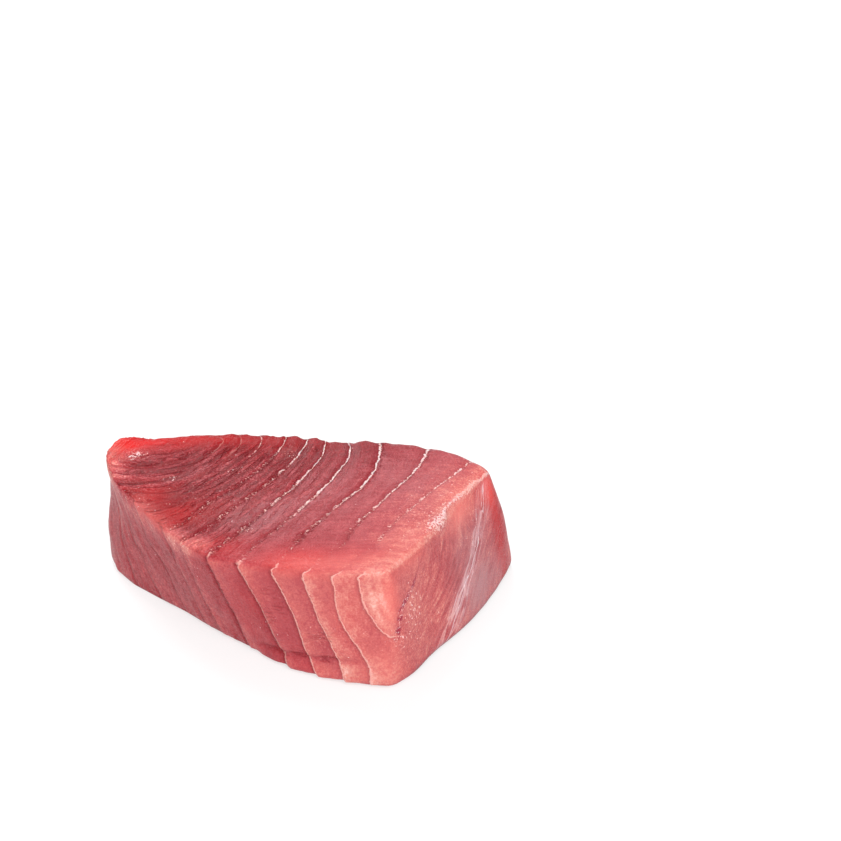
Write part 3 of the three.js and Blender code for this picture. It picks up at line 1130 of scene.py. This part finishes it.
# Painted glints of wet highlights on and beside the vein.
glints = add(tree, "ShaderNodeMapRange", 0, [(0, sparkle), (1, 0.57), (2, 0.65), (3, 0), (4, 1)])
vein_glint_zone = add(tree, "ShaderNodeMapRange", 0, [(0, masks["vein"]), (1, 0.55), (2, 0.85), (3, 0), (4, 1)])
glinting = add(tree, "ShaderNodeMath", 0, [(0, glints), (1, vein_glint_zone)], operation="MULTIPLY")
colour = tinted(colour, glinting, 0.7, TISSUE_WHITE_AND_GLINT)

# The finest relief: raised threads, cut grooves, fibres and the grain of a wet surface.
raised = add(tree, "ShaderNodeMath", 0, [(0, drawn), (1, torn)], operation="ADD")
threads = add(tree, "ShaderNodeMath", 0, [(0, raised), (1, 0.2)], operation="MULTIPLY")
cuts = add(tree, "ShaderNodeMath", 0, [(0, cut), (1, seams)], operation="ADD")
edges = add(tree, "ShaderNodeMath", 0, [(0, threads), (1, cuts)], operation="SUBTRACT")
ribbed = add(tree, "ShaderNodeMath", 0, [(0, masks["streaked"]), (1, 0.5)], operation="MULTIPLY")
ribs = add(tree, "ShaderNodeMath", 0, [(0, streaks), (1, ribbed), (2, edges)], operation="MULTIPLY_ADD")
pebbled = add(tree, "ShaderNodeMath", 0, [(0, beads), (1, 0.5), (2, ribs)], operation="MULTIPLY_ADD")
rough = add(tree, "ShaderNodeMath", 0, [(0, sparkle), (1, 0.6), (2, pebbled)], operation="MULTIPLY_ADD")
bump = add(tree, "ShaderNodeBump", 0, [("Strength", 0.9), ("Distance", 0.4 * MM), ("Height", rough)])
gloss = add(tree, "ShaderNodeMapRange", 0, [(0, beads), (1, 0.35), (2, 0.65), (3, 0.48), (4, 0.24)])
coat = add(tree, "ShaderNodeMapRange", 0, [(0, drawn), (1, 0), (2, 1), (3, 0.16), (4, 1)])
surface = add(
    tree,
    "ShaderNodeBsdfPrincipled",
    0,
    [
        ("Base Color", colour),
        ("Roughness", gloss),
        ("IOR", 1.38),
        ("Specular IOR Level", 0.12),
        ("Subsurface Weight", 0.25),
        ("Subsurface Radius", (1.0, 0.35, 0.25)),
        ("Subsurface Scale", 1.5 * MM),
        ("Coat Weight", coat),
        ("Coat Roughness", 0.12),
        ("Normal", bump),
        ("Coat Normal", bump),
    ],
    subsurface_method="RANDOM_WALK",
)
add(tree, "ShaderNodeOutputMaterial", None, [("Surface", surface)])

mesh.materials.clear()
mesh.materials.append(flesh)
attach(tuna, "root")
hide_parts("tuna_portion")

# The studio. The portion lies on a plain white table in soft white light from all round, with one
# broad soft light over it and one in front of it.
FLOOR_SIDE = 6.0
floor_mesh = bpy.data.meshes.new("table")
bm = bmesh.new()
bmesh.ops.create_grid(bm, x_segments=1, y_segments=1, size=FLOOR_SIDE / 2)
bm.to_mesh(floor_mesh)
bm.free()
floor = bpy.data.objects.new("table", floor_mesh)
bpy.context.scene.collection.objects.link(floor)
paper = bpy.data.materials.new("matt_white_paper")
paper.use_nodes = True
paper_shader = paper.node_tree.nodes["Principled BSDF"]
paper_shader.inputs["Base Color"].default_value = linear("#a0a0a0")
paper_shader.inputs["Roughness"].default_value = 0.9
paper_shader.inputs["Emission Color"].default_value = (1, 1, 1, 1)
paper_shader.inputs["Emission Strength"].default_value = 0.63
floor_mesh.materials.append(paper)

world = bpy.data.worlds.new("studio")
world.use_nodes = True
sky = world.node_tree.nodes["Background"]
sky.inputs["Color"].default_value = (1, 1, 1, 1)
sky.inputs["Strength"].default_value = 0.52
bpy.context.scene.world = world


def softbox(name, place, side, watts):
    """A square soft light at a place, turned to the portion. All is in metres and watts."""
    data = bpy.data.lights.new(name, "AREA")
    data.size = side
    data.energy = watts
    light = bpy.data.objects.new(name, data)
    light.location = place
    light.rotation_euler = (-Vector(place)).to_track_quat("-Z", "Y").to_euler()
    bpy.context.scene.collection.objects.link(light)


softbox("top_light", (-0.3, 0.8, 1.1), 0.7, 11.2)
softbox("front_light", (0.15, -1, 1), 1, 17.2)
bpy.context.scene.view_settings.view_transform = "Standard"
